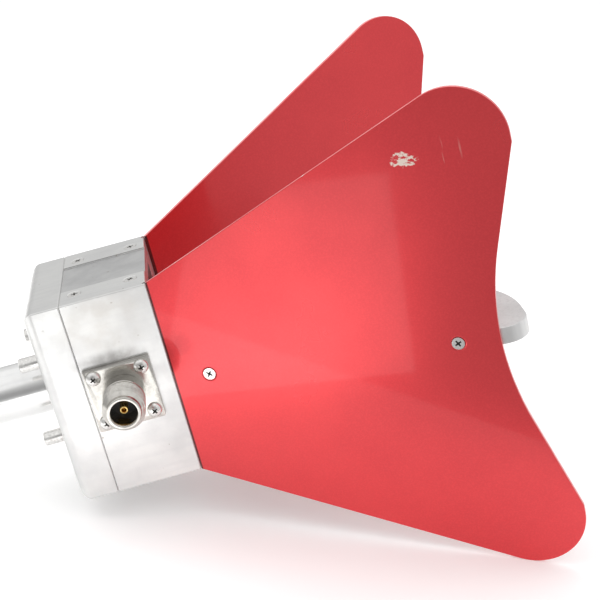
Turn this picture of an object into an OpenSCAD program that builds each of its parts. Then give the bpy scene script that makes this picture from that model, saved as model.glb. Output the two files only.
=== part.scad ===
// Open-sided double-ridged horn antenna: coaxial feed block, two flared sheets, two tapered ridges
// and a rear boom. Millimetres. The origin is on the axis at the middle of the boom's free length,
// where a mast clamp grips it. +x is boresight, +z is up through a narrow wall, and the coaxial
// connector is on the -y side. The modules draw from the mouth of the feed block, and from_mouth()
// sets them in this frame.

/* [Feed block] */
// width of the feed block across the flare direction (y)
body_w = 58.6; // [54:0.2:70]
// height of the feed block (z)
body_h = 78; // [70:0.5:100]
// length of the waveguide body, mouth to rear seam
body_l = 32.6; // [30:0.2:45]
// length of the rear cap
cap_l = 14.2; // [12:0.2:24]
// fillet round the rear face of the cap
cap_fillet = 4.5; // [2:0.1:6]
// small chamfer along the machined edges
edge_break = 0.35; // [0.1:0.05:1]
// thickness of the top and bottom walls
narrow_wall = 5; // [4:0.2:8]
// thickness of the side walls of the body
broad_wall = 4.3; // [4:0.1:6]
// clear width of the guide between the ridge carriers
guide_w = 22; // [18:0.5:30]
// depth of the cavity behind the feed, inside the cap
cavity_d = 5.2; // [3:0.2:7]
// width of the shallow milled band on the top and bottom
band_w = 28.6; // [20:0.2:32]
// depth of the milled band
band_d = 0.6; // [0.2:0.1:1]

/* [Flare sheets] */
// angle between a sheet and boresight
flare_angle = 20.3; // [15:0.1:26]
// thickness of the sheets
sheet_t = 1.6; // [1:0.1:2.5]
// distance of the sheet's outer skin from the axis at the mouth
root_y = 28.8; // [28:0.1:32]
// angle between a sheet's side edge and its centre line
side_angle = 24.1; // [15:0.1:30]
// radius of the rounded lobes
lobe_r = 19; // [12:0.5:28]
// total width across the lobes
aperture_w = 183; // [165:1:210]
// depth of the concave front edge behind the foremost line, on the centre line
scoop_d = 16.9; // [12:0.1:18]
// straight land between a lobe's centre and the concave edge
front_land = 3.1; // [0:0.1:8]
// slope of the front edge next to the lobes
front_angle = 17.9; // [14:0.1:20]
// depth of the tongue seated in the body
tongue = 1.5; // [1:0.1:2.5]
// how much shorter the tongue is than the body at each end
tongue_short = 1.3; // [0.5:0.1:3]

/* [Ridges] */
// thickness of the ridges
ridge_t = 6.4; // [5.6:0.2:8]
// gap between the ridges at the feed
throat_gap = 1.8; // [1:0.1:3]
// distance of the ridges' rear ends in front of the seam
ridge_gap = 5.6; // [2:0.2:8]
// how far the ridge noses stand out past the sheets' concave edges
nose_over = 12; // [4:0.2:16]
// radius of the inner curve of the nose
nose_r = 43; // [30:1:46]
// angle at which the taper runs into the nose curve
nose_join = 65; // [58:1:70]
// radius of the outer corner of the nose
corner_r = 8.5; // [4:0.5:12]
// straight length on the tip of the nose
nose_flat = 7; // [2:0.5:12]
// depth of the groove each ridge sits in
groove_d = 2; // [1:0.2:3]

/* [Connector] */
// distance of the feed axis in front of the seam
feed_front = 13.4; // [13:0.1:16]
// side of the square flange
flange_w = 25.4; // [25.4:0.1:25.6]
// thickness of the flange
flange_t = 1.6; // [1.4:0.1:3]
// spacing of the flange holes
flange_pitch = 18.3; // [18.2:0.05:18.4]
// outer diameter of the coupling thread
thread_od = 15.9; // [15.8:0.05:16]
// length of the plain barrel behind the thread
barrel_l = 6.4; // [5:0.2:8]
// length of the threaded part
thread_l = 9.2; // [8:0.2:11]
// outer diameter of the front lip
lip_od = 12.8; // [12:0.1:14]
// length of the front lip
lip_l = 2.1; // [1:0.1:3]
// bore of the outer contact
bore_d = 9.4; // [8.6:0.1:10]
// distance of the insulator face behind the lip
insulator_set = 10; // [8:0.2:11]
// diameter of the centre contact
contact_d = 3.05; // [2.8:0.05:3.4]
// distance of the contact tip behind the lip
contact_set = 3.3; // [2:0.1:5]
// hole in the centre contact
contact_hole = 1.65; // [1.4:0.05:1.9]
// diameter of the feed pin
pin_d = 1.3; // [1:0.1:1.6]
// diameter of the sleeve round the feed pin
sleeve_d = 4.2; // [3.6:0.1:4.6]
// depth of the feed pin in the far ridge
pin_grip = 4.1; // [2:0.1:8]

/* [Fasteners] */
// shank diameter of all screws
screw_d = 3; // [2.5:0.1:3]
// clearance hole for the screws
clear_d = 3.4; // [3.2:0.1:3.6]
// head diameter of the countersunk screws
csk_d = 5.6; // [5.2:0.1:6.2]
// distance of the block screws from each end of the body
block_screw_end = 5.7; // [4.5:0.1:8]
// distance of the block screws from the axis (y)
block_screw_y = 19.4; // [17:0.1:21]
// length of the block screws
block_screw_l = 12; // [10:1:16]
// head diameter of the flange screws
pan_d = 5.7; // [5.4:0.1:6]
// head height of the flange screws
pan_h = 2; // [1.6:0.1:2.6]
// length of the flange screws under the head
pan_l = 10; // [8:1:14]
// first sheet screw, distance from the root
sheet_screw_a = 14.2; // [10:0.2:30]
// second sheet screw, distance behind the concave edge
sheet_screw_edge = 15.2; // [8:0.2:40]
// length of the sheet screws
sheet_screw_l = 10; // [8:1:14]
// head diameter of the rear screws
rear_head_d = 5.6; // [5:0.1:6.5]
// head height of the rear screws
rear_head_h = 8.4; // [3:0.1:9]
// distance of the rear screws from the axis, both ways
rear_screw_at = 15.7; // [14.6:0.1:16.5]
// length of the rear screws under the head
rear_screw_l = 24; // [20:1:28]

/* [Boom] */
// outer diameter of the boom tube
boom_d = 22; // [18:0.5:25]
// wall thickness of the boom tube
boom_wall = 2; // [1:0.1:3]
// depth of the boom's socket in the cap
boom_seat = 5; // [3:0.5:6]
// how much the boom's seated end is turned down in diameter
spigot_step = 1; // [0.4:0.1:1.4]
// length of the boom behind the cap
boom_l = 126; // [60:1:300]

/* [Hidden] */
$fn = 96;

guide_h = body_h - 2 * narrow_wall;          // clear height of the guide
carrier_y = body_w / 2 - broad_wall;         // outer face of a ridge carrier
carrier_t = carrier_y - guide_w / 2;         // thickness of a ridge carrier
ridge_seat = guide_w / 2 + groove_d;         // base of a ridge inside the block
cap_x = -body_l - cap_l;                     // rear face of the cap
ridge_back = body_l - ridge_gap;             // rear ends of the ridges behind the mouth
feed_back = body_l - feed_front;             // feed axis behind the mouth
flange_y = body_w / 2 + flange_t;            // outer face of the connector flange
lip_y = flange_y + barrel_l + thread_l + lip_l;
insulator_y = lip_y - insulator_set;         // outer face of the insulator
insulator_in = flange_y + 2;                 // step the insulator rests on
lobe_z = aperture_w / 2 - lobe_r;            // centre of a lobe on its sheet
lobe_u = (lobe_r + cos(side_angle) * (lobe_z - body_h / 2)) / sin(side_angle);
front_u = lobe_u + lobe_r;                   // foremost line of a sheet
front_mid = front_u - scoop_d;               // concave edge on the centre line
front_half = lobe_z - front_land;            // half width of the concave front
sheet_screw_b = front_mid - sheet_screw_edge;
nose_x = front_mid * cos(flare_angle) + nose_over;
scoop_r = (front_half * tan(front_angle) - (front_u - front_mid)) / (1 / cos(front_angle) - 1);
scoop_z = scoop_r * sin(front_angle);        // where the concave arc meets the straight front edge
scoop_u = front_mid + scoop_r * (1 - cos(front_angle));
hair = 0.002;                                // clearance under the sheets
root_in = root_y - sheet_t / cos(flare_angle) - hair;
corner_x = nose_x - corner_r;
corner_y = root_in + corner_x * tan(flare_angle) - corner_r / cos(flare_angle);
nose_cx = nose_x - nose_r;
nose_cy = corner_y - nose_flat;
join_x = nose_cx + nose_r * cos(nose_join);
join_y = nose_cy - nose_r * sin(nose_join);
taper = ln(2 * join_y / throat_gap) / join_x; // growth rate of the exponential taper
taper_steps = 28;
csk_h = (csk_d - screw_d) / 2;
spigot_d = boom_d - spigot_step;             // seated end of the boom, and its socket

aluminium = [0.80, 0.81, 0.82];
steel = [0.70, 0.71, 0.73];
paint = [0.80, 0.05, 0.06];
gold = [0.85, 0.65, 0.25];

// rectangle with its long edges broken, drawn in y and z
module block_section(w, h) {
    c = edge_break;
    polygon([[-w / 2 + c, -h / 2], [w / 2 - c, -h / 2], [w / 2, -h / 2 + c], [w / 2, h / 2 - c],
        [w / 2 - c, h / 2], [-w / 2 + c, h / 2], [-w / 2, h / 2 - c], [-w / 2, -h / 2 + c]]);
}

// side view of a block from x = 0 back to -l, both ends with broken edges
module block_profile(l, w) {
    c = edge_break;
    polygon([[0, -w / 2 + c], [-c, -w / 2], [c - l, -w / 2], [-l, -w / 2 + c], [-l, w / 2 - c],
        [c - l, w / 2], [-c, w / 2], [0, w / 2 - c]]);
}

// bar left outside a fillet along one rear edge of the cap, of length l, the cap w across
module rear_edge_cut(w, l) {
    translate([cap_x + cap_fillet, w / 2 - cap_fillet, -l / 2]) difference() {
        translate([-cap_fillet - 1, 0, 0]) cube([cap_fillet + 1, cap_fillet + 1, l]);
        translate([0, 0, -1]) cylinder(h = l + 2, r = cap_fillet);
    }
}

module from_mouth() { translate([body_l + cap_l + boom_l / 2, 0, 0]) children(); }
module along_x(l) { translate([-l, 0, 0]) rotate([90, 0, 90]) linear_extrude(l) children(); }
module in_plan(h) { translate([0, 0, -h / 2]) linear_extrude(h) children(); }
module in_side(w) { rotate([90, 0, 0]) translate([0, 0, -w / 2]) linear_extrude(w) children(); }

// local frame of the feed side sheet: x runs out along the sheet, z points out of its outer skin
module on_feed_sheet() { translate([0, -root_y, 0]) rotate([90, 0, -flare_angle]) children(); }

// countersunk screw, head flush with z = 0, shank down, cross recess
module csk_screw(l) {
    difference() {
        union() {
            translate([0, 0, -csk_h]) cylinder(h = csk_h, d1 = screw_d, d2 = csk_d);
            translate([0, 0, -l]) cylinder(h = l, d = screw_d);
        }
        cross_recess(3.1, 0.75, 1.2);
    }
}

module cross_recess(w, t, depth) {
    translate([-w / 2, -t / 2, -depth]) cube([w, t, depth + 3]);
    translate([-t / 2, -w / 2, -depth]) cube([t, w, depth + 3]);
}

// hole for a countersunk screw through a plate of thickness t
module csk_hole(t) {
    translate([0, 0, -csk_h]) cylinder(h = csk_h, d1 = screw_d, d2 = csk_d);
    translate([0, 0, -t - 1]) cylinder(h = t + 1, d = screw_d);
    cylinder(h = 1, d = csk_d);
}

module at_block_screws() {
    for (x = [-block_screw_end, block_screw_end - body_l], y = [-1, 1])
        translate([x, y * block_screw_y, 0]) children();
}

module at_rear_screws() {
    for (y = [-1, 1], z = [-1, 1])
        translate([cap_x, y * rear_screw_at, z * rear_screw_at]) rotate([0, -90, 0]) children();
}

// frame on the feed axis, z pointing out of the connector
module on_feed(y) { translate([-feed_back, -y, 0]) rotate([90, 0, 0]) children(); }

module at_flange_screws() {
    for (x = [-1, 1], z = [-1, 1]) translate([x * flange_pitch / 2, z * flange_pitch / 2, 0]) children();
}

module sheet_slot() {
    on_feed_sheet() translate([-tongue, -body_h / 2 - 1, -sheet_t])
        cube([tongue + 8, body_h + 2, sheet_t]);
}

module waveguide_body() {
    color(aluminium) from_mouth() difference() {
        intersection() {
            along_x(body_l) block_section(body_w, body_h);
            in_plan(body_h) block_profile(body_l, body_w);
            in_side(body_w) block_profile(body_l, body_h);
        }
        translate([-body_l - 1, -carrier_y, -guide_h / 2]) cube([body_l + 2, 2 * carrier_y, guide_h]);
        for (s = [0, 1]) mirror([0, s, 0]) sheet_slot();
        for (s = [0, 1]) mirror([0, 0, s]) translate([0, 0, body_h / 2]) {
            translate([-body_l - 1, -band_w / 2, -band_d]) cube([body_l + 2, band_w, 2 * band_d]);
            at_block_screws() csk_hole(narrow_wall);
        }
        on_feed(body_w / 2 + 1) {
            translate([0, 0, -broad_wall - 2]) cylinder(h = broad_wall + 3, d = sleeve_d);
            at_flange_screws() translate([0, 0, -broad_wall - 2]) cylinder(h = broad_wall + 3, d = screw_d);
        }
    }
}

module rear_cap() {
    color(aluminium) from_mouth() difference() {
        intersection() {
            translate([-body_l, 0, 0]) along_x(cap_l) block_section(body_w, body_h);
            translate([-body_l, 0, 0]) in_plan(body_h) block_profile(cap_l, body_w);
            translate([-body_l, 0, 0]) in_side(body_w) block_profile(cap_l, body_h);
        }
        for (s = [0, 1]) mirror([0, s, 0]) rear_edge_cut(body_w, body_h + 2);
        for (s = [90, -90]) rotate([s, 0, 0]) rear_edge_cut(body_h, body_w + 2);
        translate([-body_l - cavity_d, -guide_w / 2, -guide_h / 2]) cube([cavity_d + 1, guide_w, guide_h]);
        translate([cap_x - 1, 0, 0]) rotate([0, 90, 0]) cylinder(h = boom_seat + 1, d = spigot_d);
        at_rear_screws() translate([0, 0, -cap_l - 1]) cylinder(h = cap_l + 2, d = clear_d);
    }
}

module carrier_blank(s) {
    difference() {
        mirror([0, s, 0]) translate([-body_l, -carrier_y, -guide_h / 2]) cube([body_l, carrier_t, guide_h]);
        mirror([0, s, 0]) translate([-ridge_back, -ridge_seat, -ridge_t / 2])
            cube([ridge_back + 1, groove_d + 1, ridge_t]);
        for (m = [0, 1]) mirror([0, 0, m]) translate([0, 0, body_h / 2])
            at_block_screws() translate([0, 0, -block_screw_l]) cylinder(h = block_screw_l, d = screw_d);
        at_rear_screws() translate([0, 0, -rear_screw_l]) cylinder(h = rear_screw_l, d = screw_d);
    }
}

module feed_carrier() {
    color(aluminium) from_mouth() difference() {
        carrier_blank(0);
        on_feed(flange_y) at_flange_screws() translate([0, 0, -pan_l]) cylinder(h = pan_l, d = screw_d);
        on_feed(0) cylinder(h = body_w / 2, d = sleeve_d);
    }
}

module plain_carrier() { color(aluminium) from_mouth() carrier_blank(1); }

// ridge outline on the +y side
module ridge_outline() {
    polygon(concat(
        [[-ridge_back, throat_gap / 2]],
        [for (i = [0:taper_steps]) let (x = join_x * i / taper_steps) [x, throat_gap / 2 * exp(taper * x)]],
        [[nose_cx, nose_cy], [nose_x, nose_cy], [nose_x, corner_y], [corner_x, corner_y],
            [corner_x - corner_r * sin(flare_angle), corner_y + corner_r * cos(flare_angle)],
            [0, root_in], [0, ridge_seat], [-ridge_back, ridge_seat]]));
    translate([nose_cx, nose_cy]) intersection() {
        circle(nose_r, $fn = 180);
        polygon([[0, 0], nose_r * [1.5 * cos(nose_join), -1.5 * sin(nose_join)],
            nose_r * [1.5, -1.5], nose_r * [1.5, 0]]);
    }
    translate([corner_x, corner_y]) circle(corner_r);
}

module ridge_blank(s) {
    difference() {
        mirror([0, s, 0]) in_plan(ridge_t) ridge_outline();
        mirror([0, 1 - s, 0]) on_feed_sheet() for (u = [sheet_screw_a, sheet_screw_b])
            translate([u, 0, -sheet_screw_l]) cylinder(h = sheet_screw_l, d = screw_d);
    }
}

module feed_ridge() {
    color(aluminium) from_mouth() difference() {
        ridge_blank(1);
        on_feed(0) cylinder(h = body_w / 2, d = sleeve_d);
    }
}

module plain_ridge() {
    color(aluminium) from_mouth() difference() {
        ridge_blank(0);
        on_feed(-throat_gap / 2 - pin_grip) cylinder(h = pin_grip + 1, d = pin_d);
    }
}

// sheet without its screw holes, x out along it, y across it, outer skin at z = 0
module sheet_blank() {
    half = [[-tongue, body_h / 2 - tongue_short], [0, body_h / 2 - tongue_short], [0, body_h / 2],
        [lobe_u - lobe_r * sin(side_angle), lobe_z + lobe_r * cos(side_angle)], [lobe_u, lobe_z],
        [front_u, lobe_z], [front_u, front_half], [scoop_u, scoop_z]];
    sector = [[0, 0], [2, 0], [2, 2], [-2 * sin(side_angle), 2 * cos(side_angle)]];
    translate([0, 0, -sheet_t]) difference() {
        union() {
            linear_extrude(sheet_t)
                polygon(concat(half, [for (i = [len(half) - 1:-1:0]) [half[i][0], -half[i][1]]]));
            for (s = [0, 1]) mirror([0, s, 0]) translate([lobe_u, lobe_z, 0]) intersection() {
                cylinder(h = sheet_t, r = lobe_r, $fn = 180);
                translate([0, 0, -1]) linear_extrude(sheet_t + 2) polygon(lobe_r * sector);
            }
        }
        translate([front_mid + scoop_r, 0, -1]) cylinder(h = sheet_t + 2, r = scoop_r, $fn = 360);
    }
}

module flare_sheet() {
    on_feed_sheet() difference() {
        sheet_blank();
        for (u = [sheet_screw_a, sheet_screw_b]) translate([u, 0, 0]) csk_hole(sheet_t);
    }
}

module feed_flare() { color(paint) from_mouth() flare_sheet(); }
module plain_flare() { color(paint) from_mouth() mirror([0, 1, 0]) flare_sheet(); }

module connector_shell() {
    color(steel) from_mouth() on_feed(body_w / 2) difference() {
        union() {
            translate([-flange_w / 2, -flange_w / 2, 0]) cube([flange_w, flange_w, flange_t]);
            rotate_extrude() polygon([[0, 0], [thread_od / 2, 0], [thread_od / 2, flange_t + barrel_l - 0.5],
                [thread_od / 2 - 0.8, flange_t + barrel_l - 0.5], [thread_od / 2 - 0.8, flange_t + barrel_l],
                [thread_od / 2, flange_t + barrel_l + 0.5],
                [thread_od / 2, flange_t + barrel_l + thread_l - 0.7],
                [lip_od / 2, flange_t + barrel_l + thread_l],
                [lip_od / 2, flange_t + barrel_l + thread_l + lip_l - 0.6],
                [lip_od / 2 - 0.6, flange_t + barrel_l + thread_l + lip_l],
                [0, flange_t + barrel_l + thread_l + lip_l]]);
        }
        translate([0, 0, -1]) cylinder(h = flange_y, d = sleeve_d);
        translate([0, 0, insulator_in - body_w / 2]) cylinder(h = lip_y, d = bore_d);
        at_flange_screws() translate([0, 0, -1]) cylinder(h = flange_t + 2, d = clear_d);
    }
}

module connector_insulator() {
    color([0.12, 0.12, 0.13]) from_mouth() on_feed(insulator_in) difference() {
        cylinder(h = insulator_y - insulator_in, d = bore_d);
        translate([0, 0, -1]) cylinder(h = insulator_set, d = contact_d);
    }
}

module connector_contact() {
    tip = lip_y - contact_set - insulator_in;
    color(gold) from_mouth() on_feed(insulator_in) difference() {
        union() {
            cylinder(h = tip - 0.4, d = contact_d);
            translate([0, 0, tip - 0.4]) cylinder(h = 0.4, d1 = contact_d, d2 = contact_d - 0.6);
        }
        translate([0, 0, tip - 5]) cylinder(h = 6, d = contact_hole);
        translate([0, 0, -1]) cylinder(h = 3, d = pin_d);
    }
}

module probe_sleeve() {
    color([0.93, 0.93, 0.90]) from_mouth() on_feed(throat_gap / 2) difference() {
        cylinder(h = insulator_in - throat_gap / 2, d = sleeve_d);
        translate([0, 0, -1]) cylinder(h = insulator_in + 1, d = pin_d);
    }
}

module feed_probe() {
    color(gold) from_mouth() on_feed(-throat_gap / 2 - pin_grip)
        cylinder(h = insulator_in + 2 + throat_gap / 2 + pin_grip, d = pin_d);
}

module connector_screws() {
    ball = (pan_d * pan_d / 4 + pan_h * pan_h) / (2 * pan_h);
    color(steel) from_mouth() on_feed(flange_y) at_flange_screws() difference() {
        union() {
            translate([0, 0, -pan_l]) cylinder(h = pan_l, d = screw_d);
            intersection() {
                translate([0, 0, pan_h - ball]) sphere(ball);
                cylinder(h = pan_h, d = pan_d);
            }
        }
        translate([0, 0, pan_h]) rotate([0, 0, 45]) cross_recess(3.2, 0.8, 1.4);
    }
}

module block_screws() { translate([0, 0, body_h / 2]) at_block_screws() csk_screw(block_screw_l); }
module top_screws() { color(steel) from_mouth() block_screws(); }
module bottom_screws() { color(steel) from_mouth() mirror([0, 0, 1]) block_screws(); }

module sheet_screws() {
    on_feed_sheet() for (u = [sheet_screw_a, sheet_screw_b]) translate([u, 0, 0]) csk_screw(sheet_screw_l);
}

module feed_flare_screws() { color(steel) from_mouth() sheet_screws(); }
module plain_flare_screws() { color(steel) from_mouth() mirror([0, 1, 0]) sheet_screws(); }

module rear_screws() {
    c = 0.5;
    color(steel) from_mouth() at_rear_screws() difference() {
        union() {
            translate([0, 0, -rear_screw_l]) cylinder(h = rear_screw_l, d = screw_d);
            cylinder(h = rear_head_h - c, d = rear_head_d);
            translate([0, 0, rear_head_h - c]) cylinder(h = c, d1 = rear_head_d, d2 = rear_head_d - 2 * c);
        }
        translate([0, 0, rear_head_h - 2]) cylinder(h = 3, d = 2.9, $fn = 6);
    }
}

module boom_tube() {
    color(steel) from_mouth() translate([cap_x - boom_l, 0, 0]) rotate([0, 90, 0]) difference() {
        union() {
            cylinder(h = boom_l, d = boom_d);
            cylinder(h = boom_l + boom_seat, d = spigot_d);
        }
        translate([0, 0, -1]) cylinder(h = boom_l + boom_seat + 2, d = boom_d - 2 * boom_wall);
    }
}

waveguide_body();
rear_cap();
feed_carrier();
plain_carrier();
feed_ridge();
plain_ridge();
feed_flare();
plain_flare();
connector_shell();
connector_insulator();
connector_contact();
probe_sleeve();
feed_probe();
connector_screws();
top_screws();
bottom_screws();
feed_flare_screws();
plain_flare_screws();
rear_screws();
boom_tube();
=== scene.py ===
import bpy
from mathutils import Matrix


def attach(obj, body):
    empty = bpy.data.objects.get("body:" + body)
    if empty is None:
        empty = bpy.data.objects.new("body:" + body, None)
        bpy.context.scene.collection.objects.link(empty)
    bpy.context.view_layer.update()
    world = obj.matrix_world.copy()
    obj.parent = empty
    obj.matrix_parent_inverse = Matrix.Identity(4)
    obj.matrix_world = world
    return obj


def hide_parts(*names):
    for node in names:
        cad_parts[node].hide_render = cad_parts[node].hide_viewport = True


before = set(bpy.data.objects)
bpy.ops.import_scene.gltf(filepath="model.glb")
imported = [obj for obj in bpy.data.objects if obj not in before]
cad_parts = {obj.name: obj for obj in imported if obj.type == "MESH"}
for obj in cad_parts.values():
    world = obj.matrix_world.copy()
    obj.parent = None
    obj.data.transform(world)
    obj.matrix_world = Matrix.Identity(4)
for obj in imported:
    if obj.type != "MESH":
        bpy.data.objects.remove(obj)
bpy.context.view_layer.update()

import math

import bmesh
import bpy
from mathutils import Matrix, Vector

MM = 0.001
scene = bpy.context.scene

# The studio floor, a thin sheet of white card. The antenna lies on it on its two lower lobes and
# the end of its boom, nose up, so in the antenna's own frame the floor is tilted.
floor_up = Vector((0.27239, 0.0, 0.96219))
floor_level = -0.0277444
floor_side = Vector((0.0, 1.0, 0.0))
floor_size = (1.35, 1.90, 1.0)
floor_centre = (0.36, 0.81, 0.0)


def axes_at(origin, side, out):
    """The place at origin whose x runs along side and whose z runs along out."""
    return Matrix.Translation(origin) @ Matrix((side, out.cross(side), out)).transposed().to_4x4()


def as_mesh(shape, name):
    """Turns a bmesh into a mesh and frees it."""
    mesh = bpy.data.meshes.new(name)
    shape.to_mesh(mesh)
    shape.free()
    return mesh


def new_finish(name):
    """A material, its nodes, its surface shader and the place on the object that patterns read."""
    finish = bpy.data.materials.new(name)
    finish.use_nodes = True
    tree = finish.node_tree
    return finish, tree, tree.nodes["Principled BSDF"], tree.nodes.new("ShaderNodeTexCoord").outputs["Object"]


def join(tree, source, socket):
    """Puts a number, a colour or another node's output into a socket."""
    if isinstance(source, bpy.types.NodeSocket):
        tree.links.new(source, socket)
    else:
        socket.default_value = source


def grain(tree, place, scale, detail, rough=0.55, stretch=(1, 1, 1), turn=(0, 0, 0), shift=(0, 0, 0)):
    """Noise from 0 to 1. scale is in cells a metre, and stretch makes streaks."""
    mapping = tree.nodes.new("ShaderNodeMapping")
    mapping.inputs["Scale"].default_value = stretch
    mapping.inputs["Rotation"].default_value = turn
    mapping.inputs["Location"].default_value = shift
    tree.links.new(place, mapping.inputs["Vector"])
    noise = tree.nodes.new("ShaderNodeTexNoise")
    noise.inputs["Scale"].default_value = scale
    noise.inputs["Detail"].default_value = detail
    noise.inputs["Roughness"].default_value = rough
    tree.links.new(mapping.outputs["Vector"], noise.inputs["Vector"])
    return noise.outputs["Fac"]


def grey(level):
    """A neutral colour."""
    return (level, level, level)


def tint(tree, amount, under, over):
    """The colour under, with over laid on it by amount. The mix node's colour sockets share one name,
    so they go by number."""
    node = tree.nodes.new("ShaderNodeMix")
    node.data_type = "RGBA"
    join(tree, amount, node.inputs[0])
    for socket, colour in ((node.inputs[6], under), (node.inputs[7], over)):
        join(tree, colour if isinstance(colour, bpy.types.NodeSocket) else (*colour, 1.0), socket)
    return node.outputs[2]


def set_surface(tree, shader, colour, rough, metallic):
    """Gives the shader its colour, roughness and share of metal."""
    join(tree, colour, shader.inputs["Base Color"])
    join(tree, rough, shader.inputs["Roughness"])
    shader.inputs["Metallic"].default_value = metallic


def white_card():
    """Matt white card, lifted a little so that it stays white under the soft lights."""
    finish, tree, shader, place = new_finish("floor_white")
    fibres = grain(tree, place, 60, 4)
    set_surface(tree, shader, tint(tree, fibres, grey(0.93), grey(0.97)), 0.85, 0.0)
    shader.inputs["Emission Color"].default_value = (*grey(1.0), 1.0)
    shader.inputs["Emission Strength"].default_value = 0.15
    return finish


shape = bmesh.new()
bmesh.ops.create_grid(shape, x_segments=12, y_segments=12, size=0.5)
bmesh.ops.scale(shape, vec=floor_size, verts=shape.verts)
bmesh.ops.translate(shape, vec=floor_centre, verts=shape.verts)
to_floor = axes_at(floor_up * floor_level, floor_side.cross(floor_up), floor_up)
bmesh.ops.transform(shape, matrix=to_floor, verts=shape.verts)
floor = bpy.data.objects.new("floor", as_mesh(shape, "floor"))
floor.data.materials.append(white_card())
scene.collection.objects.link(floor)

# The room. The camera sees a plain white backdrop. What the metal mirrors is a studio: bright
# overhead, dimmer below, dark where the camera stands, and white again beyond the mouth.
sky_levels = ((0.30, 0.50), (0.50, 0.55), (0.60, 0.64), (0.74, 0.98), (1.0, 1.15))
toward_camera = Vector((-0.03, -0.93, 0.36)).normalized()


def ramp(tree, source, low, high, start=0.0, end=1.0, curve="SMOOTHSTEP"):
    """start below low, end above high, and smooth between them unless curve says otherwise."""
    node = tree.nodes.new("ShaderNodeMapRange")
    node.interpolation_type = curve
    join(tree, source, node.inputs["Value"])
    for key, number in (("From Min", low), ("From Max", high), ("To Min", start), ("To Max", end)):
        node.inputs[key].default_value = number
    return node.outputs["Result"]


def math_of(tree, operation, first, second=0.0):
    """One step of arithmetic on numbers or node outputs."""
    node = tree.nodes.new("ShaderNodeMath")
    node.operation = operation
    join(tree, first, node.inputs[0])
    join(tree, second, node.inputs[1])
    return node.outputs[0]


def product(tree, *factors):
    """All the factors multiplied together."""
    result = factors[0]
    for factor in factors[1:]:
        result = math_of(tree, "MULTIPLY", result, factor)
    return result


def along(tree, place, direction):
    """How far a point lies along a direction, in metres."""
    node = tree.nodes.new("ShaderNodeVectorMath")
    node.operation = "DOT_PRODUCT"
    tree.links.new(place, node.inputs[0])
    node.inputs[1].default_value = direction
    return node.outputs["Value"]


world = bpy.data.worlds.new("studio")
scene.world = world
world.use_nodes = True
tree = world.node_tree
tree.nodes.clear()
direction = tree.nodes.new("ShaderNodeTexCoord").outputs["Generated"]
height = along(tree, direction, floor_up)
sky = tree.nodes.new("ShaderNodeValToRGB")
sky.color_ramp.interpolation = "EASE"
for position, level in sky_levels:
    sky.color_ramp.elements.new(position).color = (*grey(level), 1.0)
# the black stop that a new ramp starts with goes
sky.color_ramp.elements.remove(sky.color_ramp.elements[0])
tree.links.new(ramp(tree, height, -1.0, 1.0, curve="LINEAR"), sky.inputs["Fac"])
dimmed = ramp(tree, along(tree, direction, toward_camera), 0.88, 0.975, 1.0, 0.52)
mirrored_room = tint(tree, dimmed, grey(0.0), sky.outputs["Color"])
# above the white sweep at the back the room is dim, which draws a dark band on round metal
behind = ramp(tree, along(tree, direction, (0, 1, 0)), 0.40, 0.60)
over_sweep = product(tree, ramp(tree, height, 0.33, 0.40), ramp(tree, height, 0.58, 0.66, 1.0, 0.0))
mirrored_room = tint(tree, product(tree, behind, over_sweep, 0.18), mirrored_room, (0.08, 0.08, 0.09))
# a white wall stands beyond the mouth
wall = ramp(tree, along(tree, direction, (1, 0, 0)), 0.30, 0.55, 0.0, 0.75)
mirrored_room = tint(tree, product(tree, wall, ramp(tree, height, -0.9, 0.2)), mirrored_room, grey(0.86))
seen_directly = tree.nodes.new("ShaderNodeLightPath").outputs["Is Camera Ray"]
background = tree.nodes.new("ShaderNodeBackground")
background.inputs["Strength"].default_value = 1.0
tree.links.new(tint(tree, seen_directly, mirrored_room, grey(1.0)), background.inputs["Color"])
surround = tree.nodes.new("ShaderNodeOutputWorld")
tree.links.new(background.outputs["Background"], surround.inputs["Surface"])

# The lights and the camera. A soft box hangs overhead, and a small bright card stands low in front
# of the near sheet, which mirrors it as a pale square. The camera looks down on the jack's side.
overhead_place = Vector((0.02, 0.25, 0.80))
overhead_aim = Vector((0.12, 0.0, 0.0))
card_beside = Vector((0.054, -0.187, 0.0))
card_lift = 12 * MM
card_width_along = Vector((0.842, -0.539, 0.0))
camera_place = Vector((0.15295, -0.52849, 0.20828))
camera_aim = Vector((0.16709, -0.01428, 0.01363))
camera_roll = math.radians(2.1372)


def soft_light(name, centre, back, side, size, power, mirrored):
    """A rectangular soft box at centre. It shines away from back, and side runs along its width."""
    lamp = bpy.data.lights.new(name, "AREA")
    lamp.shape = "RECTANGLE"
    lamp.size, lamp.size_y = size
    lamp.energy = power
    box = bpy.data.objects.new(name, lamp)
    scene.collection.objects.link(box)
    box.matrix_world = axes_at(centre, side.normalized(), back)
    box.visible_camera = False
    box.visible_glossy = mirrored


overhead_back = (overhead_place - overhead_aim).normalized()
soft_light("overhead", overhead_place, overhead_back, Vector((0, 0, 1)).cross(overhead_back),
           (1.1, 1.1), 6.0, False)
card_place = card_beside - floor_up * (card_beside.dot(floor_up) - floor_level - card_lift)
soft_light("front_card", card_place, -floor_up.normalized(), card_width_along, (0.108, 0.215), 0.08, True)

lens = bpy.data.cameras.new("camera")
lens.lens = 87.07
lens.sensor_width = 36.0
lens.shift_x = -0.0158
lens.shift_y = -0.01395
lens.clip_start = 0.01
camera = bpy.data.objects.new("camera", lens)
scene.collection.objects.link(camera)
camera_back = (camera_place - camera_aim).normalized()
camera_side = floor_up.cross(camera_back).normalized()
camera.matrix_world = (axes_at(camera_place, camera_side, camera_back)
                       @ Matrix.Rotation(camera_roll, 4, "Z"))
scene.camera = camera
scene.view_settings.view_transform = "Standard"

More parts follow.
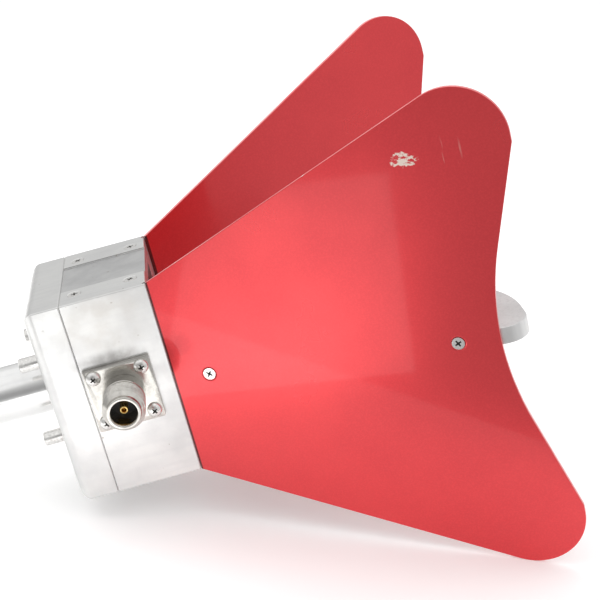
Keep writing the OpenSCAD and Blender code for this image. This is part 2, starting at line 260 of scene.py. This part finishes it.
# The feed block. A waveguide body milled from one aluminium billet, and a rear cap with rounded
# rear edges screwed behind it. Both are bare, satin from the cutter, and faintly stained by hands.


def reach(name):
    """The lowest and the highest corner of a CAD node."""
    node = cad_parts[name]
    corners = [node.matrix_world @ Vector(corner) for corner in node.bound_box]
    return [Vector([pick(corner[axis] for corner in corners) for axis in range(3)]) for pick in (min, max)]


body_low, body_high = reach("waveguide_body")
seam_x, mouth_x = body_low.x, body_high.x
block_near, block_top = body_low.y, body_high.z
band_half_width = 14.1 * MM
band_floor = block_top - 0.8 * MM
block_rounding = 0.12


def near_wall(x, z):
    """The place on the block's near wall at x and z in mm."""
    return (x * MM, block_near, z * MM)


def patch(tree, place, centre, size, soft):
    """1 inside an ellipsoid of half sizes in mm round centre, falling to 0 over its soft outer part."""
    mapping = tree.nodes.new("ShaderNodeMapping")
    mapping.inputs["Scale"].default_value = [1.0 / (s * MM) for s in size]
    mapping.inputs["Location"].default_value = [-c / (s * MM) for c, s in zip(centre, size)]
    tree.links.new(place, mapping.inputs["Vector"])
    length = tree.nodes.new("ShaderNodeVectorMath")
    length.operation = "LENGTH"
    tree.links.new(mapping.outputs["Vector"], length.inputs[0])
    return ramp(tree, length.outputs["Value"], 1.0 - soft, 1.0, 1.0, 0.0)


def relief(tree, shader, pattern, depth, strength):
    """Raises the surface by up to depth in mm where the pattern is high."""
    node = tree.nodes.new("ShaderNodeBump")
    node.inputs["Strength"].default_value = strength
    node.inputs["Distance"].default_value = depth * MM
    tree.links.new(pattern, node.inputs["Height"])
    tree.links.new(node.outputs["Normal"], shader.inputs["Normal"])


def milled_aluminium():
    """Bare milled aluminium with cutter marks, a duller band along the top, stains and specks."""
    finish, tree, shader, place = new_finish("milled_aluminium")
    clouds = grain(tree, place, 38, 5, 0.62)
    cutter_marks = grain(tree, place, 420, 3, 0.6, stretch=(0.05, 1, 1))
    blotches = grain(tree, place, 95, 4, 0.6, shift=(3, 1, 2))
    specks = grain(tree, place, 520, 2, 0.5, shift=(1, 5, 0))
    metal = tint(tree, ramp(tree, clouds, 0.35, 0.70), (0.80, 0.80, 0.785), (0.70, 0.70, 0.695))
    metal = tint(tree, ramp(tree, cutter_marks, 0.45, 0.75, 0.0, 0.35), metal, grey(0.68))
    # the middle of the top and of the bottom is a shallow milled band, duller than its strips
    off_middle = math_of(tree, "ABSOLUTE", along(tree, place, (0, 1, 0)))
    off_level = math_of(tree, "ABSOLUTE", along(tree, place, (0, 0, 1)))
    ahead = along(tree, place, (1, 0, 0))
    in_band = product(tree, ramp(tree, off_middle, band_half_width, band_half_width + 0.25 * MM, 1.0, 0.0),
                      ramp(tree, off_level, band_floor, band_floor + 0.1 * MM),
                      ramp(tree, ahead, seam_x, seam_x + 0.2 * MM))
    dullness = product(tree, in_band, ramp(tree, blotches, 0.25, 0.75, 0.45, 0.9))
    metal = tint(tree, dullness, metal, grey(0.50))
    # brown stains above the jack, dark grime along its flange, and a worn place on the cap
    for centre, size, soft, blotch_range, strengths, colour in (
            (near_wall(92, 28), (22, 6, 15), 0.6, (0.38, 0.68), (0.25, 0.75), (0.66, 0.635, 0.60)),
            (near_wall(89, 14.6), (17, 3, 4.2), 0.8, (0.30, 0.62), (0.1, 0.8), (0.36, 0.35, 0.34)),
            (near_wall(67, 35), (12, 6, 9), 0.8, (0.42, 0.62), (0.0, 0.6), grey(0.60))):
        stain = product(tree, patch(tree, place, centre, size, soft),
                        ramp(tree, blotches, *blotch_range, *strengths))
        metal = tint(tree, stain, metal, colour)
    dirt = product(tree, ramp(tree, specks, 0.70, 0.76), ramp(tree, blotches, 0.45, 0.6, 0.0, 0.7))
    metal = tint(tree, dirt, metal, (0.30, 0.25, 0.20))
    unevenness = math_of(tree, "ADD", clouds, product(tree, blotches, 0.6))
    set_surface(tree, shader, metal, ramp(tree, unevenness, 0.55, 1.15, 0.30, 0.46), 1.0)
    relief(tree, shader, math_of(tree, "ADD", cutter_marks, product(tree, blotches, 0.8)), 0.03, 0.5)
    return finish


def mesh_piece(mesh, name, rounding=0.0, segments=2, smooth=35.0):
    """Puts a finished mesh in the scene with smooth curves, flat large faces and crisp corners.
    Edges sharper than smooth degrees are rounded off by a radius in mm."""
    if "custom_normal" in mesh.attributes:
        mesh.attributes.remove(mesh.attributes["custom_normal"])
    largest_smooth_face = 30 * MM * MM
    for face in mesh.polygons:
        face.use_smooth = face.area < largest_smooth_face
    mesh.set_sharp_from_angle(angle=math.radians(smooth))
    piece = bpy.data.objects.new(name, mesh)
    scene.collection.objects.link(piece)
    if rounding:
        edge = piece.modifiers.new("rounding", "BEVEL")
        edge.width = rounding * MM
        edge.segments = segments
        edge.limit_method = "ANGLE"
        edge.angle_limit = math.radians(smooth)
        edge.use_clamp_overlap = False
    return piece


def solid_copy(node, name, rounding, segments=2):
    """A merged copy of a CAD node whose sharp edges are rounded off."""
    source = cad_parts[node]
    shape = bmesh.new()
    shape.from_mesh(source.data)
    bmesh.ops.transform(shape, matrix=source.matrix_world, verts=shape.verts)
    bmesh.ops.remove_doubles(shape, verts=shape.verts, dist=0.002 * MM)
    bmesh.ops.dissolve_limit(shape, angle_limit=math.radians(0.4), verts=shape.verts, edges=shape.edges)
    return mesh_piece(as_mesh(shape, name), name, rounding, segments)


def fit(piece, slot, node, *finishes):
    """Rides the piece on the frame in place of its CAD node and gives it its finishes."""
    for finish in finishes:
        piece.data.materials.append(finish)
    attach(piece, "root")
    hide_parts(node)


milled = milled_aluminium()
fit(solid_copy("waveguide_body", "milled_body", block_rounding), "milled_aluminium", "waveguide_body", milled)
fit(solid_copy("rear_cap", "milled_cap", block_rounding), "milled_aluminium", "rear_cap", milled)

# The two ridge carriers inside the block. Bare aluminium bars, bored for the feed and tapped for
# the block's screws. They line the guide and show only through the mouth.


def dress_node(name, finish):
    """Gives a CAD node that is kept as it is its finish."""
    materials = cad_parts[name].data.materials
    materials.clear()
    materials.append(finish)


def inner_aluminium():
    """Bare aluminium with fine passes of the cutter."""
    finish, tree, shader, place = new_finish("inner_aluminium")
    passes = grain(tree, place, 500, 3, 0.6, stretch=(1, 1, 0.06))
    haze = grain(tree, place, 70, 4)
    metal = tint(tree, ramp(tree, haze, 0.3, 0.7), grey(0.80), grey(0.68))
    metal = tint(tree, ramp(tree, passes, 0.4, 0.8, 0.0, 0.5), metal, grey(0.58))
    set_surface(tree, shader, metal, ramp(tree, passes, 0.3, 0.8, 0.34, 0.48), 1.0)
    relief(tree, shader, passes, 0.03, 0.5)
    return finish


inner = inner_aluminium()
dress_node("feed_carrier", inner)
dress_node("plain_carrier", inner)

# The two ridges. Plates sawn and filed to the taper from thick aluminium, screwed to the carriers
# at the back and to the sheets along their straight edge. Their rounded noses stand out in front.
ridge_rounding = 0.30


def ridge_aluminium():
    """Bare aluminium with strokes of the file across the plate."""
    finish, tree, shader, place = new_finish("ridge_aluminium")
    strokes = grain(tree, place, 650, 3, 0.6, stretch=(1, 1, 0.08))
    haze = grain(tree, place, 55, 4, shift=(4, 0, 1))
    metal = tint(tree, ramp(tree, haze, 0.3, 0.7), (0.80, 0.795, 0.79), (0.71, 0.705, 0.70))
    metal = tint(tree, ramp(tree, strokes, 0.45, 0.8, 0.0, 0.5), metal, grey(0.64))
    set_surface(tree, shader, metal, ramp(tree, strokes, 0.3, 0.8, 0.36, 0.50), 1.0)
    relief(tree, shader, strokes, 0.03, 0.5)
    return finish


filed = ridge_aluminium()
for node in ("feed_ridge", "plain_ridge"):
    ridge = solid_copy(node, node.replace("ridge", "tapered_ridge"), ridge_rounding, 3)
    fit(ridge, "ridge_aluminium", node, filed)

# The two flared sheets. Aluminium sheet cut to shape, sprayed glossy metallic red on both skins,
# each seated in a slot at the block's mouth and held by two countersunk screws into its ridge.
sheet_turn = math.radians(20.3)
sheet_root = Vector((mouth_x, -28.8 * MM, 0.0))
sheet_out = Vector((math.cos(sheet_turn), -math.sin(sheet_turn), 0.0))
sheet_skin = Vector((-math.sin(sheet_turn), -math.cos(sheet_turn), 0.0))
sheet_rounding = 0.20


def on_near_sheet(u, z):
    """A place on the near sheet's outer skin, u mm out from the block and z mm up."""
    return sheet_root + sheet_out * (u * MM) + Vector((0, 0, z * MM))


def far(vector):
    """The same place or direction on the antenna's far side."""
    return Vector((vector.x, -vector.y, vector.z))


def scraped(tree, place):
    """Where the near sheet's outer skin is scraped bare: one scar and two fine scratches."""
    skin_level = sheet_root.dot(sheet_skin)
    on_skin = ramp(tree, along(tree, place, sheet_skin), skin_level - 0.5 * MM, skin_level - 0.3 * MM)
    flecks = grain(tree, place, 420, 4, 0.65, stretch=(1, 1, 1.6), turn=(0, 0.35, 0))
    scar = patch(tree, place, on_near_sheet(103.5, 69.5), (11, 9, 6.2), 0.8)
    scar = ramp(tree, product(tree, scar, flecks), 0.41, 0.49)
    fine_lines = grain(tree, place, 900, 2, 0.5, stretch=(1, 1, 0.10), turn=(0, 0.15, 0))
    scratches = product(tree, ramp(tree, fine_lines, 0.62, 0.70),
                        patch(tree, place, on_near_sheet(119.5, 70), (5, 6, 7), 0.6), 0.5)
    return product(tree, math_of(tree, "MAXIMUM", scar, scratches), on_skin)


def red_finish(name, out, worn):
    """Metallic red under a clear coat, with a near-black line painted where the sheet leaves its slot:
    painted shade of the gap, with some dirt. A worn one is also scraped and has a dull spot beside the jack."""
    finish, tree, shader, place = new_finish(name)
    flakes = grain(tree, place, 1500, 1, 0.5)
    clouds = grain(tree, place, 22, 4, 0.55)
    orange_peel = grain(tree, place, 150, 0, 0.5)
    colour = tint(tree, ramp(tree, clouds, 0.3, 0.7), (0.77, 0.055, 0.062), (0.71, 0.047, 0.056))
    colour = tint(tree, ramp(tree, flakes, 0.35, 0.75, 0.0, 0.25), colour, (0.92, 0.075, 0.085))
    rough = ramp(tree, clouds, 0.3, 0.7, 0.27, 0.33)
    # a near-black line just outside the slot's mouth: painted shade of the gap between sheet and block, with
    # the dirt packed there
    slot_mouth = sheet_out.dot(sheet_root) + 0.55 * MM
    slot_shade_and_dirt = ramp(tree, along(tree, place, out), slot_mouth, slot_mouth + 0.3 * MM, 0.9, 0.0)
    colour = tint(tree, slot_shade_and_dirt, colour, (0.05, 0.02, 0.02))
    if worn:
        bare = scraped(tree, place)
        colour = tint(tree, bare, colour, (0.93, 0.80, 0.70))
        rough = math_of(tree, "ADD", rough, product(tree, bare, 0.2))
        dull = patch(tree, place, on_near_sheet(7.5, 13), (5.5, 6, 6.5), 0.7)
        colour = tint(tree, product(tree, dull, 0.35), colour, (0.45, 0.02, 0.03))
    set_surface(tree, shader, colour, rough, 0.80)
    shader.inputs["Coat Weight"].default_value = 0.55
    shader.inputs["Coat Roughness"].default_value = 0.06
    shader.inputs["Coat IOR"].default_value = 1.5
    relief(tree, shader, orange_peel, 0.010, 0.5)
    return finish


def sheet_cut_edge():
    """The sheet's cut edge, light pink partly where the paint is thin and partly as a painted highlight along
    the edge, and nicked through to the metal.
    """
    finish, tree, shader, place = new_finish("sheet_cut_edge")
    nicks = grain(tree, place, 160, 4, 0.7)
    thin = grain(tree, place, 26, 3, 0.6, shift=(2, 2, 2))
    # both pinks are lighter than the sheet's red: partly thin paint, partly a painted highlight of the bright
    # line along the edge
    colour = tint(tree, ramp(tree, thin, 0.35, 0.7), (0.86, 0.33, 0.33), (0.80, 0.16, 0.17))
    colour = tint(tree, ramp(tree, nicks, 0.66, 0.70), colour, (0.90, 0.86, 0.83))
    set_surface(tree, shader, colour, ramp(tree, nicks, 0.4, 0.7, 0.30, 0.5), 0.5)
    relief(tree, shader, nicks, 0.05, 0.6)
    return finish


cut_edge = sheet_cut_edge()
for side, out, skin, worn in (("feed", sheet_out, sheet_skin, True),
                              ("plain", far(sheet_out), far(sheet_skin), False)):
    sheet = solid_copy(side + "_flare", side + "_flared_sheet", sheet_rounding)
    fit(sheet, "red_paint", side + "_flare", red_finish(side + "_red", out, worn), cut_edge)
    for face in sheet.data.polygons:
        on_edge = abs(face.normal.dot(skin)) < 0.3 and face.center.x > mouth_x + 1 * MM
        face.material_index = 1 if on_edge else 0

# The coaxial jack. A turned and nickel-plated brass shell with a square flange, a plain barrel, a
# coupling thread and a rounded front lip, bolted to the near wall over the feed. Sizes are in mm.
shell_low, shell_high = reach("connector_shell")
feed_x = (shell_low.x + shell_high.x) / 2
flange_side = 25.4
flange_thickness = 1.6
flange_corner = 0.9
flange_edge = 0.18
screw_offset = 9.15
screw_hole_r = 1.7
flange_bore_r = 4.2
barrel_r = 7.95
neck_r = 7.2
thread_foot_r = 7.40
thread_start = 8.15
thread_pitch = 1.06
thread_turns = 8
bore_r = 4.70
bore_floor = 3.6
back_bore_r = 4.0
lip_front = 19.30


def turned(shape, outline, steps):
    """Spins a closed outline of (radius, height) points in mm round the z axis."""
    ring = [shape.verts.new((r * MM, 0.0, h * MM)) for r, h in outline]
    loop = [shape.edges.new((ring[i], ring[(i + 1) % len(ring)])) for i in range(len(ring))]
    before = set(shape.faces)
    bmesh.ops.spin(shape, geom=ring + loop, cent=(0, 0, 0), axis=(0, 0, 1), dvec=(0, 0, 0),
                   angle=2 * math.pi, steps=steps, use_merge=True, use_normal_flip=False, use_duplicate=False)
    bmesh.ops.remove_doubles(shape, verts=shape.verts, dist=0.0005 * MM)
    bmesh.ops.recalc_face_normals(shape, faces=[face for face in shape.faces if face not in before])


def cut_away(mesh, cutters):
    """The mesh with the cutters' room taken out of it."""
    work = bpy.data.objects.new("work", mesh)
    tools = [bpy.data.objects.new("tool", cutter) for cutter in cutters]
    for item in [work] + tools:
        scene.collection.objects.link(item)
    for tool in tools:
        take = work.modifiers.new("take", "BOOLEAN")
        take.operation = "DIFFERENCE"
        take.solver = "EXACT"
        take.object = tool
    bpy.context.view_layer.update()
    result = bpy.data.meshes.new_from_object(work.evaluated_get(bpy.context.evaluated_depsgraph_get()))
    for item in [work] + tools:
        bpy.data.objects.remove(item)
    return result


def drill(radius, low, high, x=0, y=0):
    """A round cutter in mm along z."""
    shape = bmesh.new()
    middle = Matrix.Translation((x * MM, y * MM, (low + high) / 2 * MM))
    bmesh.ops.create_cone(shape, cap_ends=True, segments=32, radius1=radius * MM, radius2=radius * MM,
                          depth=(high - low) * MM, matrix=middle)
    return as_mesh(shape, "drill")


def on_feed_axis(y):
    """The place at y in metres on the feed's axis, whose z looks out of the near wall."""
    return Matrix.Translation((feed_x, y, 0)) @ Matrix.Rotation(math.radians(90), 4, "X")


def nickel_plate():
    """Bright nickel, a little tarnished, with the lathe's rings showing through."""
    finish, tree, shader, place = new_finish("nickel_plate")
    rings = grain(tree, place, 900, 2, 0.5, stretch=(0.03, 1, 0.03))
    haze = grain(tree, place, 210, 4, 0.6)
    metal = tint(tree, ramp(tree, haze, 0.35, 0.7), (0.66, 0.64, 0.60), (0.50, 0.485, 0.455))
    metal = tint(tree, ramp(tree, rings, 0.5, 0.85, 0.0, 0.4), metal, (0.55, 0.53, 0.50))
    set_surface(tree, shader, metal, ramp(tree, haze, 0.3, 0.7, 0.13, 0.24), 1.0)
    relief(tree, shader, rings, 0.02, 0.4)
    return finish


def flange_plate():
    """The square flange with rounded corners, broken edges and its five holes."""
    shape = bmesh.new()
    block = (Matrix.Translation((0, 0, flange_thickness / 2 * MM))
             @ Matrix.Diagonal((flange_side * MM, flange_side * MM, flange_thickness * MM, 1.0)))
    bmesh.ops.create_cube(shape, size=1.0, matrix=block)
    uprights = [e for e in shape.edges if abs(e.verts[0].co.z - e.verts[1].co.z) > 1 * MM]
    bmesh.ops.bevel(shape, geom=uprights, offset=flange_corner * MM, offset_type="OFFSET", segments=5,
                    profile=0.5, affect="EDGES", material=-1)
    rims = [e for e in shape.edges if len(e.link_faces) == 2 and e.calc_face_angle(0.0) > 1.2]
    bmesh.ops.bevel(shape, geom=rims, offset=flange_edge * MM, offset_type="OFFSET", segments=2,
                    profile=0.5, affect="EDGES", material=-1)
    through = (-1, flange_thickness + 1.4)
    holes = [drill(screw_hole_r, *through, x, y) for x in (-screw_offset, screw_offset)
             for y in (-screw_offset, screw_offset)]
    return cut_away(as_mesh(shape, "plate"), holes + [drill(flange_bore_r, *through)])


def barrel_outline():
    """Neck, plain barrel, groove, thread rings, rounded lip and bore, from the flange's back."""
    outline = [(back_bore_r, 0.0), (neck_r, 0.0), (neck_r, flange_thickness), (barrel_r, 1.75),
               (barrel_r, 7.3), (7.75, 7.55), (7.25, 7.6), (7.25, thread_start)]
    for turn in range(thread_turns):
        start = thread_start + turn * thread_pitch
        outline += [(thread_foot_r, start + 0.06), (7.86, start + 0.30), (barrel_r, start + 0.42),
                    (barrel_r, start + 0.62), (7.86, start + 0.74), (thread_foot_r, start + 0.98)]
    outline += [(7.30, 16.68), (6.62, 17.2), (6.40, 17.35), (6.40, 18.65), (6.30, 19.0), (6.08, 19.22),
                (5.80, lip_front), (5.35, lip_front), (5.12, 19.22), (4.92, 18.95), (bore_r, 18.4)]
    return outline + [(bore_r, bore_floor), (back_bore_r, bore_floor)]


shape = bmesh.new()
shape.from_mesh(flange_plate())
turned(shape, barrel_outline(), 128)
bmesh.ops.transform(shape, matrix=on_feed_axis(block_near), verts=shape.verts)
jack = mesh_piece(as_mesh(shape, "jack_shell"), "jack_shell", smooth=28)
fit(jack, "nickel_plate", "connector_shell", nickel_plate())

# The jack's core. An insulator coloured nearly black as painted shade of the deep bore, a gold-plated socket
# contact with a chamfered mouth, and behind them the gold pin in its white sleeve, which crosses the guide
# into the far ridge.
contact_back = block_near - 3.6 * MM
contact_r = 1.525
contact_hole_r = 0.825
pin_seat_r = 0.65
through_r = 0.3


def dark_insulator():
    """Plastic coloured nearly black as painted shade of the deep bore, with a little dust."""
    finish, tree, shader, place = new_finish("dark_insulator")
    dust = grain(tree, place, 1400, 3, 0.6)
    # the near-black colours are painted shade of the deep bore, not the plastic's own colour
    colour = tint(tree, ramp(tree, dust, 0.4, 0.8), (0.030, 0.030, 0.034), (0.085, 0.085, 0.09))
    set_surface(tree, shader, colour, ramp(tree, dust, 0.3, 0.7, 0.38, 0.55), 0.0)
    relief(tree, shader, dust, 0.02, 0.4)
    return finish


def gold_plate():
    """Thin gold, wiped along the contact by the plugs."""
    finish, tree, shader, place = new_finish("gold_plate")
    wipes = grain(tree, place, 1500, 3, 0.6, stretch=(1, 0.1, 1))
    colour = tint(tree, wipes, (0.90, 0.66, 0.26), (0.72, 0.48, 0.16))
    set_surface(tree, shader, colour, ramp(tree, wipes, 0.3, 0.7, 0.16, 0.30), 1.0)
    relief(tree, shader, wipes, 0.01, 0.4)
    return finish


def white_insulator():
    """Waxy white plastic."""
    finish, tree, shader, place = new_finish("white_insulator")
    wax = grain(tree, place, 400, 3, 0.6)
    colour = tint(tree, wax, (0.90, 0.90, 0.88), (0.82, 0.81, 0.78))
    set_surface(tree, shader, colour, ramp(tree, wax, 0.3, 0.7, 0.40, 0.55), 0.0)
    relief(tree, shader, wax, 0.02, 0.3)
    return finish


gold = gold_plate()
dress_node("connector_insulator", dark_insulator())
dress_node("probe_sleeve", white_insulator())
dress_node("feed_probe", gold)

shape = bmesh.new()
turned(shape, [(contact_hole_r, 7.4), (contact_hole_r, 12.0), (1.0, 12.35), (1.2, 12.4), (1.42, 12.32),
               (contact_r, 12.0), (contact_r, 0.0), (pin_seat_r, 0.0), (pin_seat_r, 2.0),
               (through_r, 2.4), (through_r, 7.2)], 48)
bmesh.ops.transform(shape, matrix=on_feed_axis(contact_back), verts=shape.verts)
contact = mesh_piece(as_mesh(shape, "socket_contact"), "socket_contact", smooth=28)
fit(contact, "gold_plate", "connector_contact", gold)

# The screws. Stainless cross-recess screws: four with domed heads on the flange, eight countersunk
# in the top and bottom walls, four countersunk in the sheets, all driven into tapped aluminium.
axis_r = 0.02
shank_r = 1.5
dome_r = 2.85
dome_foot = 0.25
dome_top = 2.0
wall_screw_length = 12
sheet_screw_length = 10
pan_screw_length = 10
corner_inset = 5.7 * MM
corner_offset = 19.4 * MM
head_sink = 0.05 * MM


def screw_steel():
    """Stainless steel, scuffed by the driver and a little dirty."""
    finish, tree, shader, place = new_finish("screw_steel")
    scuffs = grain(tree, place, 1100, 4, 0.65)
    dirt = grain(tree, place, 420, 3, 0.6, shift=(2, 7, 1))
    metal = tint(tree, ramp(tree, scuffs, 0.3, 0.75), (0.86, 0.85, 0.83), (0.66, 0.65, 0.63))
    metal = tint(tree, ramp(tree, dirt, 0.60, 0.75, 0.0, 0.6), metal, (0.36, 0.33, 0.30))
    set_surface(tree, shader, metal, ramp(tree, scuffs, 0.3, 0.7, 0.15, 0.30), 1.0)
    relief(tree, shader, scuffs, 0.02, 0.4)
    return finish


def recess_grime():
    """Old grime packed in the driver's recess."""
    finish, tree, shader, place = new_finish("recess_grime")
    packed = grain(tree, place, 1500, 3, 0.6)
    colour = tint(tree, packed, (0.10, 0.095, 0.09), (0.24, 0.225, 0.21))
    set_surface(tree, shader, colour, ramp(tree, packed, 0.3, 0.7, 0.5, 0.7), 0.6)
    return finish


def recess_cutters(top, width, slot, depth):
    """The two crossed wings and the point of a cross driver, in mm. The wings taper downwards and
    stand above the head, at top."""
    above = 1.0
    foot_width, foot_slot = 0.42, 0.62
    cutters = []
    for quarter in (0, 1):
        shape = bmesh.new()
        middle = Matrix.Translation((0, 0, (top + (above - depth) / 2) * MM))
        wing_size = Matrix.Diagonal((width * MM, slot * MM, (above + depth) * MM, 1.0))
        bmesh.ops.create_cube(shape, size=1.0, matrix=middle @ wing_size)
        for vert in shape.verts:
            if vert.co.z < top * MM:
                vert.co.x *= foot_width
                vert.co.y *= foot_slot
            else:
                vert.co.x *= 1.0 + above * (1.0 - foot_width) / depth
        turn = Matrix.Rotation(quarter * math.pi / 2, 3, "Z")
        bmesh.ops.rotate(shape, cent=(0, 0, 0), matrix=turn, verts=shape.verts)
        cutters.append(as_mesh(shape, "wing"))
    shape = bmesh.new()
    middle = Matrix.Translation((0, 0, (top - depth / 2 + 0.1) * MM))
    bmesh.ops.create_cone(shape, cap_ends=True, segments=16, radius1=0.15 * MM, radius2=slot * 0.95 * MM,
                          depth=(depth + 0.5) * MM, matrix=middle)
    cutters.append(as_mesh(shape, "point"))
    return cutters


def shank(length):
    """The outline of a chamfered shank from its tip, below a head that seats at height 0."""
    return [(axis_r, -length), (1.2, -length), (shank_r, 0.4 - length)]


def screw(outline, recess, steps=48):
    """One screw, head up, its seat at height 0. The driver's recess is dark with old grime."""
    shape = bmesh.new()
    turned(shape, outline, steps)
    mesh = cut_away(as_mesh(shape, "screw"), recess)
    mesh.materials.clear()
    top = max(h for r, h in outline) * MM
    for face in mesh.polygons:
        x, y, z = face.center
        in_recess = math.hypot(x, y) < 1.6 * MM and top - 2.6 * MM < z < top - 0.05 * MM
        wall_or_floor = abs(face.normal.z) < 0.8 or z < top - 0.9 * MM
        face.material_index = 1 if in_recess and wall_or_floor else 0
    return mesh


def countersunk_screw(length):
    """A flat screw whose head lies under height 0, with a thin rim round it."""
    head = [(shank_r, -1.22), (2.30, -0.42), (2.36, -0.30), (2.30, -0.02), (1.8, 0.0), (axis_r, 0.0)]
    return screw(shank(length) + head, recess_cutters(0.0, 2.6, 0.75, 1.2))


def domed_screw(length):
    """A pan-head screw whose domed head stands on its seat."""
    dome = []
    for degrees in range(0, 86, 9):
        angle = math.radians(degrees)
        dome.append((dome_r * math.cos(angle), dome_foot + (dome_top - dome_foot) * math.sin(angle)))
    head = [(shank_r, 0.0), (2.7, 0.0), (dome_r, 0.12)] + dome + [(axis_r, dome_top)]
    return screw(shank(length) + head, recess_cutters(dome_top, 2.5, 0.72, 1.35))


def facing(origin, out, spin):
    """The place of a screw whose head looks along out, turned by spin in degrees."""
    out = Vector(out).normalized()
    side = Vector((0, 0, 1)).cross(out)
    side = side.normalized() if side.length > 0.01 else Vector((1, 0, 0))
    return axes_at(origin, side, out) @ Matrix.Rotation(math.radians(spin), 4, "Z")


def set_screws(name, screw_mesh, places, node):
    """Copies one screw to each of its places as a single piece."""
    shape = bmesh.new()
    for screw_place in places:
        start = len(shape.verts)
        shape.from_mesh(screw_mesh)
        shape.verts.ensure_lookup_table()
        bmesh.ops.transform(shape, matrix=screw_place, verts=shape.verts[start:])
    fit(mesh_piece(as_mesh(shape, name), name, smooth=32), "screw_steel", node, steel, grime)


steel = screw_steel()
grime = recess_grime()

flange_face = block_near - flange_thickness * MM
offset = screw_offset * MM
flange_places = [facing((feed_x + x * offset, flange_face, z * offset), (0, -1, 0), spin)
                 for x, z, spin in ((-1, 1, 28), (1, 1, 12), (1, -1, 35), (-1, -1, 20))]
set_screws("flange_screws", domed_screw(pan_screw_length), flange_places, "connector_screws")

wall_screw = countersunk_screw(wall_screw_length)
corners = [(x, y) for x in (mouth_x - corner_inset, seam_x + corner_inset)
           for y in (corner_offset, -corner_offset)]
for wall, up, extra_spin in (("top", 1, 0), ("bottom", -1, 30)):
    head_z = up * (block_top - head_sink)
    wall_places = [facing((x, y, head_z), (0, 0, up), spin + extra_spin)
                   for (x, y), spin in zip(corners, (18, 63, 40, 5))]
    set_screws(wall + "_wall_screws", wall_screw, wall_places, wall + "_screws")

sheet_screw = countersunk_screw(sheet_screw_length)
near_holes = [(on_near_sheet(14.2, 0), 55), (on_near_sheet(108.33, 0), 30)]
set_screws("feed_sheet_screws", sheet_screw,
           [facing(hole, sheet_skin, spin) for hole, spin in near_holes], "feed_flare_screws")
set_screws("plain_sheet_screws", sheet_screw,
           [facing(far(hole), far(sheet_skin), spin) for hole, spin in near_holes], "plain_flare_screws")

# The rear screws. Four tall round-headed screws with a hexagon socket, through the cap into the
# carriers. They hold the cap on, and their heads stand proud of it.
cap_rear = reach("rear_cap")[0].x
tall_offset = 15.7 * MM
tall_length = 24
tall_r = 2.8
tall_top = 8.4
socket_r = 1.45
socket_depth = 2.4

hexagon = bmesh.new()
bmesh.ops.create_cone(hexagon, cap_ends=True, segments=6, radius1=socket_r * MM, radius2=socket_r * MM,
                      depth=5 * MM, matrix=Matrix.Translation((0, 0, (tall_top - socket_depth + 2.5) * MM)))
tall_head = [(shank_r, 0.0), (2.72, 0.0), (tall_r, 0.1), (tall_r, 7.9), (2.68, 8.2), (2.4, tall_top),
             (axis_r, tall_top)]
tall_screw = screw(shank(tall_length) + tall_head, [as_mesh(hexagon, "hexagon")], 64)
rear_places = [facing((cap_rear, y * tall_offset, z * tall_offset), (-1, 0, 0), 15 + 20 * y + 9 * z)
               for y in (-1, 1) for z in (-1, 1)]
set_screws("cap_screws", tall_screw, rear_places, "rear_screws")

# The boom. A drawn and polished tube, its end turned down and seated in the cap. It is the mount: a
# mast clamp grips it. Its free end is plain, with broken edges. Sizes are in mm.
tube_r = 11.0
tube_bore_r = 9.0
tube_half_length = 63.0
seat_r = 10.5
seat_end = 68.0


def boom_steel():
    """Polished steel with fine lines from drawing along the tube."""
    finish, tree, shader, place = new_finish("boom_steel")
    drawn = grain(tree, place, 420, 3, 0.6, stretch=(0.02, 1, 1))
    rubbed = grain(tree, place, 60, 4, 0.6, shift=(1, 1, 4))
    metal = tint(tree, ramp(tree, rubbed, 0.3, 0.75), (0.90, 0.90, 0.895), (0.80, 0.795, 0.785))
    metal = tint(tree, ramp(tree, drawn, 0.5, 0.8, 0.0, 0.4), metal, (0.66, 0.66, 0.67))
    set_surface(tree, shader, metal, ramp(tree, rubbed, 0.3, 0.7, 0.16, 0.27), 1.0)
    relief(tree, shader, drawn, 0.02, 0.4)
    return finish


shape = bmesh.new()
turned(shape, [(tube_bore_r, 0.3 - tube_half_length), (9.3, -tube_half_length), (10.7, -tube_half_length),
               (10.92, 0.08 - tube_half_length), (tube_r, 0.3 - tube_half_length),
               (tube_r, tube_half_length - 0.05), (seat_r, tube_half_length), (seat_r, seat_end),
               (tube_bore_r, seat_end), (tube_bore_r, 0.0)], 128)
along_x = Matrix.Rotation(math.radians(90), 3, "Y")
bmesh.ops.rotate(shape, cent=(0, 0, 0), matrix=along_x, verts=shape.verts)
boom = mesh_piece(as_mesh(shape, "boom"), "boom", smooth=30)
fit(boom, "boom_steel", "boom_tube", boom_steel())
